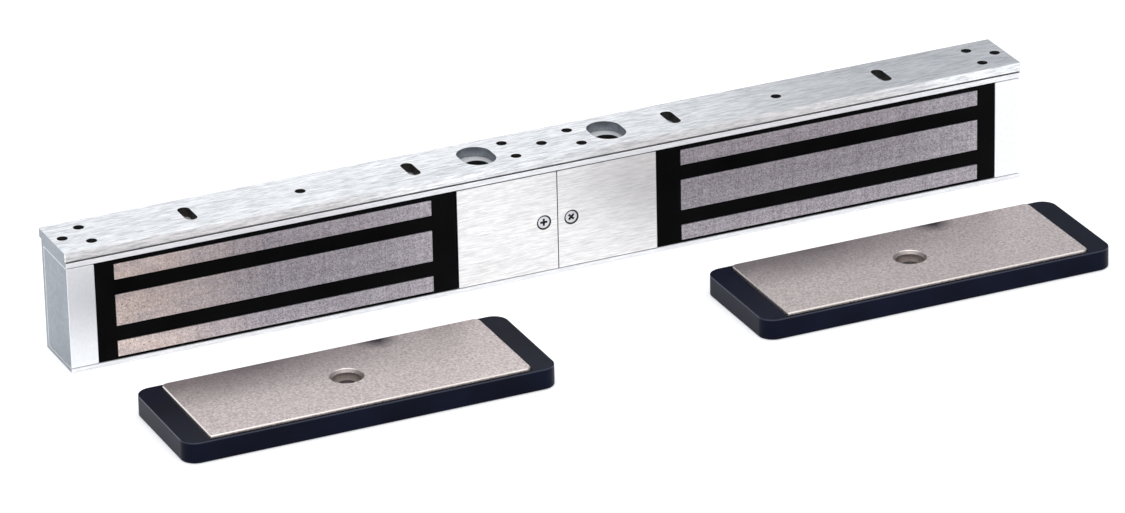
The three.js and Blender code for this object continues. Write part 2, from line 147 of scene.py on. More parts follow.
def rounded_rectangle(cx, cy, width, height, *radii, steps=8):
    """One radius for all corners, or four, anticlockwise from the +X -Y corner."""
    radii = radii * 4 if len(radii) == 1 else radii
    signs = [(1, -1), (1, 1), (-1, 1), (-1, -1)]

    def at(grow):
        points = []
        for quarter, ((sx, sy), radius) in enumerate(zip(signs, radii)):
            r = max(radius + grow, EDGE / 10)
            x = cx + sx * (width / 2 + grow - r)
            y = cy + sy * (height / 2 + grow - r)
            points += arc(x, y, r, quarter - 1, 1, steps)
        return points

    return at


def squared(corners, radius=EDGE, steps=3):
    """A shape whose sides all run along its two axes, with every corner rounded."""

    def outward(start, end):
        along = (Vector(end) - Vector(start)).normalized()
        return Vector((along.y, -along.x))

    def at(grow):
        points = []
        for i, corner in enumerate(corners):
            before = outward(corners[i - 1], corner)
            after = outward(corner, corners[(i + 1) % len(corners)])
            convex = 1 if before.cross(after) > 0 else -1
            r = max(radius + convex * grow, EDGE / 10)
            centre = Vector(corner) + (grow - convex * r) * (before + after)
            for k in range(steps + 1):
                turn = math.pi / 2 * k / steps
                point = centre + convex * r * (before * math.cos(turn) + after * math.sin(turn))
                points.append((point.x, point.y))
        return points

    return at


def softened(path, radius, steps=4):
    """The path with each corner between its ends replaced by a curve."""
    if not radius:
        return path
    points = [Vector(p) for p in path]
    result = [points[0]]
    for before, corner, after in zip(points, points[1:], points[2:]):
        reach = min(radius, (corner - before).length / 2, (after - corner).length / 2)
        start = corner + (before - corner).normalized() * reach
        end = corner + (after - corner).normalized() * reach
        for k in range(steps + 1):
            t = k / steps
            result.append(start * (1 - t) ** 2 + corner * 2 * t * (1 - t) + end * t**2)
    return result + [points[-1]]


# --------------------------------------------------------------------------- solids


class Solid:
    """A closed mesh in millimetres, made of walls round outlines and flat caps between them."""

    def __init__(self):
        self.mesh = bmesh.new()

    def wall(self, outline, path, soft=0.0):
        """Rings of the outline, grown and raised as the path's (grow, z) pairs say."""
        rings = []
        for grow, z in softened(path, soft):
            rings.append([self.mesh.verts.new((x, y, z)) for x, y in outline(grow)])
        for low, high in zip(rings, rings[1:]):
            for i in range(len(low)):
                self.mesh.faces.new((low[i - 1], low[i], high[i], high[i - 1]))
        return self

    def cap(self, z, *edges):
        """A flat face inside the first (outline, grow) pair, with the others as holes."""
        rings = [[Vector((x, y, z)) for x, y in outline(grow)] for outline, grow in edges]
        verts = [self.mesh.verts.new(point) for ring in rings for point in ring]
        for triangle in tessellate_polygon(rings):
            self.mesh.faces.new([verts[i] for i in triangle])
        return self

    def add(self, other):
        """Takes in a copy of the other solid, whose surface stays apart."""
        data = bpy.data.meshes.new("part")
        other.mesh.to_mesh(data)
        self.mesh.from_mesh(data)
        bpy.data.meshes.remove(data)

    def closed(self):
        bmesh.ops.remove_doubles(self.mesh, verts=self.mesh.verts, dist=MERGE)
        bmesh.ops.recalc_face_normals(self.mesh, faces=self.mesh.faces)
        return self

    def placed(self, place):
        self.mesh.transform(place)
        return self


def slab(outer, holes, low, high, edge=EDGE, mouth=FINE_EDGE):
    """A flat piece with rounded edges all round and at both mouths of each hole."""
    solid = Solid().wall(outer, [(-2 * edge, low), (0, low), (0, high), (-2 * edge, high)], edge)
    for hole in holes:
        solid.wall(hole, [(2 * mouth, low), (0, low), (0, high), (2 * mouth, high)], mouth)
    for z in (low, high):
        solid.cap(z, (outer, -2 * edge), *[(hole, 2 * mouth) for hole in holes])
    return solid.closed()


def prism(outline, low, high):
    """A block of the outline's shape with sharp edges, for use as a tool."""
    solid = Solid().wall(outline, [(0, low), (0, high)])
    return solid.cap(low, (outline, 0)).cap(high, (outline, 0)).closed()


def turned(path, soft=0.0, steps=48, cx=0.0, cy=0.0):
    """A lathe piece; its path holds (radius, z) pairs and starts and ends on the axis."""
    return Solid().wall(circle(cx, cy, 0.0, steps), path, soft).closed()


def drill(cx, cy, radius, low, high, flare=EDGE):
    """A tool for a round hole from low to high, with a small chamfer at both mouths."""
    reach = radius + 2 * flare
    path = [(0, low - flare), (reach, low - flare), (radius, low + flare)]
    path += [(radius, high - flare), (reach, high + flare), (0, high + flare)]
    return turned(path, cx=cx, cy=cy)


def combined(operation, base, *others):
    """The base solid after an exact boolean with each of the others."""
    scratch = []
    for solid in (base, *others):
        data = bpy.data.meshes.new("scratch")
        solid.mesh.to_mesh(data)
        obj = bpy.data.objects.new("scratch", data)
        bpy.context.scene.collection.objects.link(obj)
        scratch.append(obj)
    for tool in scratch[1:]:
        modifier = scratch[0].modifiers.new(operation, "BOOLEAN")
        modifier.operation = operation
        modifier.solver = "EXACT"
        modifier.object = tool
    graph = bpy.context.evaluated_depsgraph_get()
    result = Solid()
    result.mesh.from_mesh(scratch[0].evaluated_get(graph).to_mesh())
    for obj in scratch:
        bpy.data.meshes.remove(obj.data)
    return result


def cut(base, *tools):
    return combined("DIFFERENCE", base, *tools)


def move(x, y, z):
    return Matrix.Translation((x, y, z))


# Local z becomes X, or -Y so that the outline is seen from the front.
ALONG_X = Matrix(((0, 0, 1, 0), (1, 0, 0, 0), (0, 1, 0, 0), (0, 0, 0, 1)))
FRONT = Matrix(((1, 0, 0, 0), (0, 0, -1, 0), (0, 1, 0, 0), (0, 0, 0, 1)))


def piece(name, body, slot, *parts, place=None):
    """One object from (solid, material) parts, which stands for the CAD node of its name.

    It has no body of its own where the caller gives none.
    """
    whole = Solid()
    data = bpy.data.meshes.new(name)
    for index, (solid, material) in enumerate(parts):
        for face in solid.mesh.faces:
            face.smooth = True
            face.material_index = index
        whole.add(solid)
        data.materials.append(material)
    whole.placed(Matrix.Scale(MM, 4) @ (place or Matrix.Identity(4)))
    whole.mesh.to_mesh(data)
    data.set_sharp_from_angle(angle=SHARP_ANGLE)
    obj = bpy.data.objects.new(name + "_fine", data)
    bpy.context.scene.collection.objects.link(obj)
    normals = obj.modifiers.new("normals", "WEIGHTED_NORMAL")
    normals.keep_sharp = True
    if body:
        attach(obj, body)
    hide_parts(name)
    return obj


def paint(obj, material, wanted):
    """Gives the faces that wanted(centre in mm, normal) picks out a finish of their own."""
    obj.data.materials.append(material)
    index = len(obj.data.materials) - 1
    for face in obj.data.polygons:
        if wanted(face.center / MM, face.normal):
            face.material_index = index


# ------------------------------------------------------------------------ materials


class Finish:
    """A Principled material whose colour, roughness and bump come from procedural nodes."""

    def __init__(self, name, origin=None, **sockets):
        self.material = bpy.data.materials.new(name)
        self.material.use_nodes = True
        self.tree = self.material.node_tree
        self.shader = self.tree.nodes["Principled BSDF"]
        for key, value in sockets.items():
            socket = key.replace("_", " ").title().replace("Ior", "IOR")
            self.shader.inputs[socket].default_value = value
        self.place = self.tree.nodes.new("ShaderNodeTexCoord").outputs["Object"]
        if origin:
            links = {0: self.place, 1: origin * MM}
            self.place = self.node("VectorMath", links, operation="SUBTRACT").outputs[0]

    def node(self, kind, links=None, **settings):
        node = self.tree.nodes.new("ShaderNode" + kind)
        for setting, value in settings.items():
            setattr(node, setting, value)
        for socket, value in (links or {}).items():
            if isinstance(value, bpy.types.NodeSocket):
                self.tree.links.new(value, node.inputs[socket])
            else:
                node.inputs[socket].default_value = value
        return node

    def stretched(self, scale):
        return self.node("Mapping", {"Vector": self.place, "Scale": scale}).outputs["Vector"]

    def noise(self, scale, detail=3.0, roughness=0.5):
        """Noise whose grain is finer along an axis the larger its scale there."""
        links = {"Vector": self.stretched(scale), "Scale": 1.0, "Detail": detail, "Roughness": roughness}
        return self.node("TexNoise", links).outputs["Fac"]

    def specks(self, scale, size):
        """Small round marks, 1 inside them."""
        cells = self.node("TexVoronoi", {"Vector": self.stretched(scale), "Scale": 1.0})
        return self.levels(cells.outputs["Distance"], size, size * 0.4)

    def levels(self, value, low, high):
        """The value stretched so that low becomes 0 and high becomes 1, and clamped."""
        links = {"Value": value, "From Min": low, "From Max": high}
        return self.node("MapRange", links).outputs["Result"]

    def between(self, value, low, high):
        """The value, which runs from 0 to 1, made to run from low to high."""
        links = {"Value": value, "To Min": low, "To Max": high}
        return self.node("MapRange", links).outputs["Result"]

    def along(self, axis, low, high):
        """The distance along one axis, in mm, from 0 at low to 1 at high."""
        parts = self.node("SeparateXYZ", {"Vector": self.place})
        return self.levels(parts.outputs[axis], low * MM, high * MM)

    def sum(self, first, second):
        return self.node("Math", {0: first, 1: second}, operation="ADD").outputs[0]

    def product(self, first, second):
        return self.node("Math", {0: first, 1: second}, operation="MULTIPLY").outputs[0]

    def mix(self, factor, first, second):
        return self.node("MixRGB", {"Fac": factor, "Color1": first, "Color2": second}).outputs["Color"]

    def set(self, socket, value):
        self.tree.links.new(value, self.shader.inputs[socket])

    def bump(self, height, strength, distance):
        """Relief in millimetres."""
        links = {"Height": height, "Strength": strength, "Distance": distance * MM}
        self.set("Normal", self.node("Bump", links).outputs["Normal"])


def colour(red, green, blue):
    return (red, green, blue, 1.0)


def brushed(name, dark, light, roughness, along, metallic=1.0):
    """Metal with fine brush lines along one axis and broad, faint clouding."""
    finish = Finish(name, metallic=metallic)
    lines = finish.noise(along, roughness=0.7)
    patches = finish.noise((9.0, 60.0, 60.0))
    tone = finish.sum(finish.levels(lines, 0.32, 0.66), finish.between(patches, -0.25, 0.25))
    finish.set("Base Color", finish.mix(finish.levels(tone, 0.0, 1.0), dark, light))
    finish.set("Roughness", finish.between(lines, roughness + 0.16, roughness - 0.12))
    finish.bump(lines, 0.5, 0.03)
    return finish.material


def plain_zinc():
    finish = Finish("zinc", metallic=1.0)
    grain = finish.noise((1500.0,) * 3)
    stain = finish.noise((220.0,) * 3, detail=4.0)
    finish.set("Base Color", finish.mix(stain, colour(0.52, 0.53, 0.55), colour(0.74, 0.75, 0.77)))
    finish.set("Roughness", finish.between(grain, 0.24, 0.42))
    finish.bump(grain, 0.3, 0.02)
    return finish.material


def core_steel():
    """Ground pole faces: grainy, with faint cross lines, a coppery stain at one end and small pits."""
    finish = Finish("core_steel", metallic=0.88)
    grain = finish.noise((1600.0,) * 3, roughness=0.7)
    lines = finish.noise((30.0, 30.0, 900.0), detail=2.0)
    rows = finish.noise((700.0, 30.0, 30.0), detail=2.0)
    weave = finish.between(finish.product(lines, rows), -0.2, 0.6)
    tone = finish.sum(finish.levels(grain, 0.3, 0.7), weave)
    base = finish.mix(finish.levels(tone, 0.1, 1.2), colour(0.2, 0.18, 0.2), colour(0.72, 0.66, 0.71))
    blotches = finish.noise((50.0, 90.0, 90.0), detail=4.0)
    stain = finish.product(finish.along("X", -150, -235), blotches)
    coppery = finish.mix(finish.levels(tone, 0.1, 1.1), colour(0.5, 0.38, 0.34), colour(1.0, 0.87, 0.81))
    warm = finish.mix(finish.levels(stain, 0.05, 0.55), base, coppery)
    specks = finish.specks((300.0, 420.0, 420.0), 0.2)
    pits = finish.product(specks, finish.levels(stain, 0.3, 0.6))
    finish.set("Base Color", finish.mix(pits, warm, colour(0.07, 0.06, 0.06)))
    finish.set("Roughness", finish.between(grain, 0.55, 0.36))
    finish.bump(tone, 0.3, 0.03)
    return finish.material


def armature_steel(label, middle):
    """Ground steel: sparkling grain, painted shade towards its far left corner, a dark smudge at its far
    edge.

    The place of both is measured from the middle of the plate.
    """
    finish = Finish(f"armature_steel_{label}", origin=middle, metallic=0.82)
    grain = finish.noise((750.0,) * 3, detail=4.0, roughness=0.8)
    cloud = finish.noise((16.0, 34.0, 34.0), detail=4.0)
    base = finish.mix(finish.levels(grain, 0.3, 0.7), colour(0.4, 0.32, 0.31), colour(1.0, 0.9, 0.865))
    # Painted shade: darker in broad clouds towards the far edge and the left.
    far = finish.product(finish.along("Y", -4, 33), finish.between(cloud, 0.3, 1.3))
    far_left_shade = finish.product(far, finish.along("X", 50, -30))
    shaded = finish.mix(far_left_shade, base, colour(0.19, 0.16, 0.17))
    across = finish.product(finish.along("X", 12, 30), finish.along("X", 44, 30))
    smudge = finish.product(finish.product(across, finish.along("Y", 18, 33)), cloud)
    finish.set("Base Color", finish.mix(finish.levels(smudge, 0.1, 0.5), shaded, colour(0.06, 0.055, 0.06)))
    finish.set("Roughness", finish.between(grain, 0.55, 0.3))
    finish.bump(grain, 0.4, 0.03)
    return finish.material


def painted_shade_wall():
    """Painted shade in drilled walls, recesses and the grooves between pieces: near-black, rough metal with
    tool marks.
    """
    finish = Finish("painted_shade_bore", metallic=1.0)
    rings = finish.noise((300.0, 300.0, 2500.0), detail=2.0)
    finish.set("Base Color", finish.mix(rings, colour(0.03, 0.028, 0.028), colour(0.12, 0.11, 0.11)))
    finish.set("Roughness", finish.between(rings, 0.5, 0.7))
    finish.bump(rings, 0.3, 0.03)
    return finish.material


def cut_edge_and_highlight():
    """Freshly cut chamfers of the armature steel, which also stand as a painted highlight; on the bolt
    hole's ledge the same finish is only a painted highlight.
    """
    finish = Finish("cut_edge_painted_highlight", metallic=1.0)
    lines = finish.noise((60.0, 700.0, 700.0), detail=4.0)
    finish.set("Base Color", finish.mix(lines, colour(0.6, 0.55, 0.51), colour(0.84, 0.8, 0.76)))
    finish.set("Roughness", finish.between(lines, 0.2, 0.38))
    finish.bump(lines, 0.2, 0.02)
    return finish.material


def end_block_face(name, dark, light):
    """Milled, sawn or bored faces: short upright marks over a fine grain."""
    finish = Finish(name, metallic=1.0)
    lines = finish.noise((1500.0, 1500.0, 420.0), roughness=0.7)
    patches = finish.noise((60.0, 60.0, 30.0))
    tone = finish.sum(finish.between(lines, 0.0, 1.0), finish.between(patches, -0.2, 0.2))
    finish.set("Base Color", finish.mix(finish.levels(tone, 0.15, 0.85), dark, light))
    finish.set("Roughness", finish.between(lines, 0.5, 0.36))
    finish.bump(lines, 0.3, 0.04)
    return finish.material


def moulded(name, dark, light, roughness, grain_scale, relief, **sockets):
    """A plastic or resin with a fine moulded grain and slight changes of tone and gloss."""
    finish = Finish(name, **sockets)
    grain = finish.noise((grain_scale,) * 3, detail=5.0, roughness=0.6)
    patches = finish.noise((45.0,) * 3)
    finish.set("Base Color", finish.mix(finish.levels(patches, 0.3, 0.7), dark, light))
    gloss = finish.product(grain, patches)
    finish.set("Roughness", finish.between(gloss, roughness - 0.08, roughness + 0.16))
    finish.bump(grain, 0.4, relief)
    return finish.material


def copper_winding():
    finish = Finish("copper_winding", metallic=1.0, coat_weight=0.4)
    tone = finish.noise((90.0, 900.0, 900.0))
    finish.set("Base Color", finish.mix(tone, colour(0.5, 0.18, 0.08), colour(0.8, 0.36, 0.19)))
    finish.set("Roughness", finish.between(tone, 0.22, 0.4))
    finish.bump(tone, 0.3, 0.03)
    return finish.material


ALUMINIUM = brushed(
    "brushed_aluminium", colour(0.56, 0.57, 0.585), colour(1.0, 1.0, 1.0),
    roughness=0.34, along=(120.0, 1100.0, 1100.0),
)
SHELL = brushed(
    "shell_aluminium", colour(0.76, 0.76, 0.775), colour(0.97, 0.97, 0.98),
    roughness=0.36, along=(130.0, 1900.0, 1900.0), metallic=0.4,
)
MILL_FINISH = brushed(
    "mill_finish", colour(0.4, 0.41, 0.42), colour(0.66, 0.67, 0.69),
    roughness=0.44, along=(30.0, 900.0, 900.0),
)
COVER = brushed(
    "cover_aluminium", colour(0.68, 0.665, 0.66), colour(0.96, 0.94, 0.93),
    roughness=0.42, along=(130.0, 1900.0, 1900.0),
)
SOLDER = brushed(
    "solder", colour(0.55, 0.55, 0.56), colour(0.8, 0.8, 0.8),
    roughness=0.3, along=(700.0,) * 3,
)
END_BLOCK = end_block_face("end_block_face", colour(0.8, 0.81, 0.84), colour(0.98, 0.985, 1.0))
# Sawn marks with a darker tone that is painted shade: on the end faces, on the wire holes' walls and on the
# covers' edges.
SHADED_CUT_FACE = end_block_face("cut_face_painted_shade", colour(0.2, 0.22, 0.25), colour(0.38, 0.41, 0.44))
BORED_STEEL = end_block_face("bored_steel", colour(0.24, 0.2, 0.19), colour(0.5, 0.44, 0.42))
# Painted shade for holes, recesses and the seams between pieces.
HOLLOW_SHADE = painted_shade_wall()
CORE_STEEL = core_steel()
CUT_EDGE_AND_HIGHLIGHT = cut_edge_and_highlight()
ZINC = plain_zinc()
COPPER = copper_winding()
RESIN = moulded(
    "black_resin", colour(0.0012, 0.0012, 0.0014), colour(0.003, 0.003, 0.0032),
    roughness=0.42, grain_scale=420.0, relief=0.05, ior=1.1,
)
TRAY_PLASTIC = moulded(
    "tray_plastic", colour(0.002, 0.003, 0.01), colour(0.004, 0.006, 0.019),
    roughness=0.34, grain_scale=1100.0, relief=0.03, ior=1.14,
)
# A painted highlight for the tray's rim rounding: a lighter, glossier copy of the tray plastic.
TRAY_RIM_HIGHLIGHT = moulded(
    "tray_rim_painted_highlight", colour(0.01, 0.013, 0.032), colour(0.016, 0.02, 0.048),
    roughness=0.22, grain_scale=1100.0, relief=0.03,
)
BOARD = moulded(
    "circuit_board", colour(0.01, 0.1, 0.035), colour(0.02, 0.16, 0.06),
    roughness=0.3, grain_scale=700.0, relief=0.02,
)
TERMINAL = moulded(
    "terminal_plastic", colour(0.03, 0.2, 0.1), colour(0.05, 0.28, 0.14),
    roughness=0.4, grain_scale=900.0, relief=0.02,
)
SUPPRESSOR = moulded(
    "suppressor_coating", colour(0.02, 0.07, 0.3), colour(0.04, 0.12, 0.42),
    roughness=0.34, grain_scale=600.0, relief=0.04,
)
INSULATION = moulded(
    "lead_insulation", colour(0.35, 0.01, 0.01), colour(0.5, 0.03, 0.02),
    roughness=0.4, grain_scale=900.0, relief=0.02,
)
RUBBER = moulded(
    "black_rubber", colour(0.012, 0.012, 0.012), colour(0.03, 0.03, 0.03),
    roughness=0.7, grain_scale=900.0, relief=0.05,
)


# --------------------------------------------------------------- lock body: the shell


def is_end_face(centre, normal):
    return abs(normal.x) > 0.9 and abs(centre.x) > HALF - 1


def mounting_plate():
    """The drilled plate; the groove at its foot and the walls of its smaller holes are painted shade, and
    the wire holes' walls a lighter painted shade.
    """
    holes = [circle(0, MID_Y, HOLE_RADIUS)]
    for side in SIDES.values():
        holes += [circle(side * (HALF - x), MID_Y, HOLE_RADIUS) for x in SINGLE_HOLES]
        holes += [obround(side * (HALF - x), MID_Y, SLOTS["width"], SLOTS["length"]) for x in SLOTS["at"]]
        holes.append(obround(side * WIRE_HOLE["at"], MID_Y, WIRE_HOLE["width"], WIRE_HOLE["length"], 32))
        for y in (MID_Y - HOLE_OFFSET, MID_Y + HOLE_OFFSET):
            holes += [circle(side * x, y, HOLE_RADIUS) for x in (HALF - HOLE_PAIR, CENTRE_PAIR)]
    size = PLATE_HIGH - PLATE_LOW
    outer = rounded_rectangle(0, MID_Y, size.x, size.y, 0.6)
    solid = slab(outer, holes, PLATE_LOW.z, PLATE_HIGH.z)
    obj = piece("mounting_plate", "lock_body", "brushed_aluminium", (solid, ALUMINIUM))
    # Painted shade along the foot of the plate, in the groove where it meets the shell.
    paint(obj, HOLLOW_SHADE, lambda centre, normal: normal.z > -0.98 and centre.z < PLATE_LOW.z + EDGE)
    # The end faces: sawn marks, their darker tone painted shade.
    paint(obj, SHADED_CUT_FACE, is_end_face)

    def is_wall(centre, normal):
        inside = abs(centre.y - MID_Y) < size.y / 2 - 1 and abs(centre.x) < HALF - 1
        return inside and abs(normal.z) < 0.5

    def by_wire_hole(centre):
        return abs(abs(centre.x) - WIRE_HOLE["at"]) < WIRE_HOLE["width"] / 2 + 1

    # Painted shade on the walls of the holes: near-black in the small holes and slots, mid-grey in the wire
    # holes.
    paint(obj, HOLLOW_SHADE, lambda centre, normal: is_wall(centre, normal) and not by_wire_hole(centre))
    paint(obj, SHADED_CUT_FACE, lambda centre, normal: is_wall(centre, normal) and by_wire_hole(centre))


def housing_channel():
    """The extruded shell, with the two wire passages and the body screws' passages through it."""
    back, web = BODY_HIGH.y, BODY_HIGH.y - FLANGE["web"]
    corners = [
        (FACE_Y, BODY_LOW.z), (back, BODY_LOW.z), (back, BODY_HIGH.z), (FACE_Y, BODY_HIGH.z),
        (FACE_Y, FACE_HIGH), (web, FACE_HIGH), (web, FACE_LOW), (FACE_Y, FACE_LOW),
    ]
    shell = slab(squared(corners), [], BODY_LOW.x, BODY_HIGH.x).placed(ALONG_X)
    tools = []
    for side in SIDES.values():
        x = side * (HALF - SINGLE_HOLES[0])
        tools += [
            drill(side * WIRE_HOLE["at"], MID_Y, WIRE_HOLE["passage"], FACE_HIGH, BODY_HIGH.z, EDGE / 2),
            drill(x, MID_Y, SCREW_PASSAGE["head"], BODY_LOW.z, FACE_LOW),
            drill(x, MID_Y, SCREW_PASSAGE["shank"], FACE_HIGH, BODY_HIGH.z, EDGE / 2),
        ]
    obj = piece("housing_channel", "lock_body", "brushed_aluminium", (cut(shell, *tools), SHELL))
    # The end faces: sawn marks, their darker tone painted shade.
    paint(obj, SHADED_CUT_FACE, is_end_face)
    paint(obj, MILL_FINISH, lambda centre, normal: normal.y > 0.9 and centre.y > back - 0.1)
    paint(obj, MILL_FINISH, lambda centre, normal: normal.z < -0.9 and centre.z < BODY_LOW.z + 0.1)
    # Painted shade along the shell's top front edge, in the groove under the plate.
    paint(obj, HOLLOW_SHADE, lambda centre, _normal: centre.y < FACE_Y + EDGE and centre.z > BODY_HIGH.z - EDGE)

    def in_passage(centre, normal):
        from_middle = math.hypot(abs(centre.x) - WIRE_HOLE["at"], centre.y - MID_Y)
        return normal.z < 0.9 and centre.z > FACE_HIGH - EDGE and from_middle < WIRE_HOLE["passage"] + EDGE

    # Painted shade in the wire passages.
    paint(obj, HOLLOW_SHADE, in_passage)


def front_slab(node, radius, edge, *holes):
    """A block that fills a CAD node's box, its outline's corners rounded, with holes seen from the front."""
    low, high = box(node)
    size, middle = high - low, (high + low) / 2
    outer = rounded_rectangle(middle.x, middle.z, size.x, size.z, radius)
    return slab(outer, holes, -high.y, -low.y, edge).placed(FRONT)


def end_block(label, side):
    """An end block, drilled from below for the body screw's head and on up for its shank."""
    name = f"end_block_{label}"
    low, high = box(name)
    x = side * (HALF - SINGLE_HOLES[0])
    shoulder = SCREW_PASSAGE["shoulder"]
    solid = cut(
        front_slab(name, 0.5, EDGE),
        drill(x, MID_Y, SCREW_PASSAGE["head"], low.z, shoulder),
        drill(x, MID_Y, SCREW_PASSAGE["shank"], shoulder - 1, high.z),
    )
    obj = piece(name, "lock_body", "end_block_aluminium", (solid, END_BLOCK))
    # The end face: sawn marks, its darker tone painted shade.
    paint(obj, SHADED_CUT_FACE, is_end_face)


def threaded(radius, pitch, low, high):
    """(radius, z) pairs up a rolled thread, drawn as rings one pitch apart."""
    turns = max(1, round((high - low) / pitch))
    path = []
    for i in range(turns):
        z = low + (high - low) * i / turns
        path += [(radius - THREAD_DEPTH * pitch, z), (radius, z + pitch / 2)]
    return path


def body_screw(label):
    """Socket-head screw that holds the body to the plate, its thread at the top."""
    name = f"body_screw_{label}"
    low, high = box(name)
    radius, middle = (high.x - low.x) / 2, (low + high) / 2
    head_top = low.z + BODY_SCREW["head_height"]
    shank, pitch = BODY_SCREW["shank"], BODY_SCREW["pitch"]
    path = [(0, low.z), (radius, low.z), (radius, head_top), (shank, head_top)]
    path += threaded(shank, pitch, head_top + BODY_SCREW["plain"], high.z - pitch)
    path += [(shank - BODY_SCREW["taper"], high.z), (0, high.z)]
    shape = turned(path, 0.12, cx=middle.x, cy=middle.y)
    socket = prism(hexagon(middle.x, middle.y, SOCKET["across"]), low.z - 1, low.z + SOCKET["depth"])
    piece(name, "lock_body", "zinc_steel", (cut(shape, socket), ZINC))


# ----------------------------------------------------------------- lock body: magnets


def core_corners(label, margin=0.0):
    """The E outline in YZ: three legs forward, a yoke behind.

    With a margin it is the core's pocket, which runs out through the front of the potting.
    """
    low, high = box(f"core_{label}")
    front = low.y - 4 * margin
    root = low.y + CORE["leg_depth"] - margin
    back = high.y + margin
    edges = []
    z = low.z
    for leg in (CORE["outer_leg"], CORE["middle_leg"], CORE["outer_leg"]):
        edges.append((z - margin, z + leg + margin))
        z += leg + CORE["slot"]
    bottom, top = edges[0][0], edges[2][1]
    corners = [(front, bottom), (back, bottom), (back, top), (front, top)]
    for above, below in ((edges[2][0], edges[1][1]), (edges[1][0], edges[0][1])):
        corners += [(front, above), (root, above), (root, below), (front, below)]
    return corners


def core_solid(label, margin=0.0):
    low, high = box(f"core_{label}")
    outline = squared(core_corners(label, margin), 0.25)
    edge = 0.01 if margin else 0.2
    return slab(outline, [], low.x - margin, high.x + margin, edge).placed(ALONG_X)


def coil_outlines(label):
    low, high = box(f"coil_{label}")
    core_low, core_high = box(f"core_{label}")
    size, middle = high - low, (high + low) / 2
    outer = rounded_rectangle(middle.x, middle.z, size.x, size.z, COIL["corner"])
    inner_length = core_high.x - core_low.x + COIL["inner_height"] - CORE["middle_leg"]
    inner = rounded_rectangle(middle.x, middle.z, inner_length, COIL["inner_height"], COIL["inner_corner"])
    return outer, inner


def coil(label):
    """A winding of round wire, whose outside shows each turn."""
    name = f"coil_{label}"
    low, high = box(name)
    back, front = -high.y, -low.y
    outer, inner = coil_outlines(label)
    pitch = (high.y - low.y) / COIL["turns"]
    ridge, mouth, shoulder = COIL["ridge"], COIL["mouth"], 1
    path = [(-shoulder, back)]
    for i in range(COIL["turns"]):
        z = back + i * pitch
        path += [(-ridge, z + 0.1 * pitch), (0, z + 0.5 * pitch), (-ridge, z + 0.9 * pitch)]
    path += [(-shoulder, front)]
    solid = Solid().wall(outer, path)
    solid.wall(inner, [(mouth, back), (0, back + mouth), (0, front - mouth), (mouth, front)])
    for z in (back, front):
        solid.cap(z, (outer, -shoulder), (inner, mouth))
    piece(name, "lock_body", "copper_winding", (solid.closed().placed(FRONT), COPPER))


def potting(label, side):
    """Resin cast round the core and coil, with a passage for each lead."""
    name = f"potting_{label}"
    low, high = box(name)
    coil_low, coil_high = box(f"coil_{label}")
    outer, inner = coil_outlines(label)
    gap = POCKET_GAP
    back, front = -coil_high.y - gap, -coil_low.y + gap
    pocket = Solid().wall(outer, [(gap, back), (gap, front)]).wall(inner, [(-gap, back), (-gap, front)])
    for z in (back, front):
        pocket.cap(z, (outer, gap), (inner, -gap))
    tools = [core_solid(label, gap), pocket.closed().placed(FRONT)]
    for letter, height in LEAD["heights"].items():
        lead_low, lead_high = box(f"coil_lead_{label}_{letter}")
        start, end = (low.x - 1, lead_high.x + 1) if side > 0 else (lead_low.x - 1, high.x + 1)
        path = [(0, start), (LEAD["passage"], start), (LEAD["passage"], end), (0, end)]
        passage = turned(path, steps=24, cx=FACE_Y + LEAD["depth"], cy=height)
        tools.append(passage.placed(ALONG_X))
    solid = cut(front_slab(name, 0.4, 0.2), *tools)
    piece(name, "lock_body", "black_resin", (solid, RESIN))


# ------------------------------------------------------ lock body: covers and inside


def cover_plate(label, side):
    """Flat cover with a countersunk screw hole and one leg folded back at its outer edge."""
    name = f"cover_plate_{label}"
    low, high = box(name)
    thickness = COVER_SHEET["thickness"]
    x = side * COVER_SHEET["screw"]
    size, middle = high - low, (high + low) / 2
    outer = rounded_rectangle(middle.x, middle.z, size.x, size.z, 0.35)
    hole = circle(x, FACE_MIDDLE)
    back, front = -low.y - thickness, -low.y
    clear, mouth, rim = SINK["clear"], SINK["radius"], 0.5
    path = [(clear + 2 * EDGE, back), (clear, back), (clear, front - SINK["depth"])]
    path += [(mouth, front), (mouth + 2 * EDGE, front)]
    plate = Solid().wall(outer, [(-rim, back), (0, back), (0, front), (-rim, front)], 0.22)
    plate.wall(hole, path, 0.12)
    plate.cap(back, (outer, -rim), (hole, clear + 2 * EDGE))
    plate.cap(front, (outer, -rim), (hole, mouth + 2 * EDGE))
    inset = COVER_LEG["inset"] + COVER_LEG["thickness"] / 2
    leg_x = high.x - inset if side > 0 else low.x + inset
    section = rounded_rectangle(leg_x, FACE_MIDDLE, COVER_LEG["thickness"], COVER_LEG["height"], 0.3)
    leg = slab(section, [], -high.y, front - 2 * EDGE)
    solid = combined("UNION", plate.closed().placed(FRONT), leg.placed(FRONT))
    obj = piece(name, f"cover_{label}", "cover_aluminium", (solid, COVER))

    def in_sink(centre):
        return math.hypot(centre.x - x, centre.z - FACE_MIDDLE) < mouth + EDGE / 2

    # Painted shade on the cover's edges, in the gaps round it.
    paint(obj, SHADED_CUT_FACE, lambda centre, normal: -0.9 < normal.y < 0.9 and centre.y < low.y + thickness)
    # Painted shade in the countersink, the ring round the screw head.
    paint(obj, HOLLOW_SHADE, lambda centre, normal: normal.y > -0.9 and in_sink(centre))


def cross_arm():
    """One wing pair of the cross recess: full width at the face, narrow at its floor."""
    half, floor, depth = RECESS["span"] / 2, RECESS["floor"] / 2, RECESS["depth"]
    corners = [(-floor, -depth), (floor, -depth), (half, 0), (half, 1), (-half, 1), (-half, 0)]

    def outline(_grow):
        return corners

    width = RECESS["width"] / 2
    return prism(outline, -width, width).placed(Matrix.Rotation(math.pi / 2, 4, "X"))


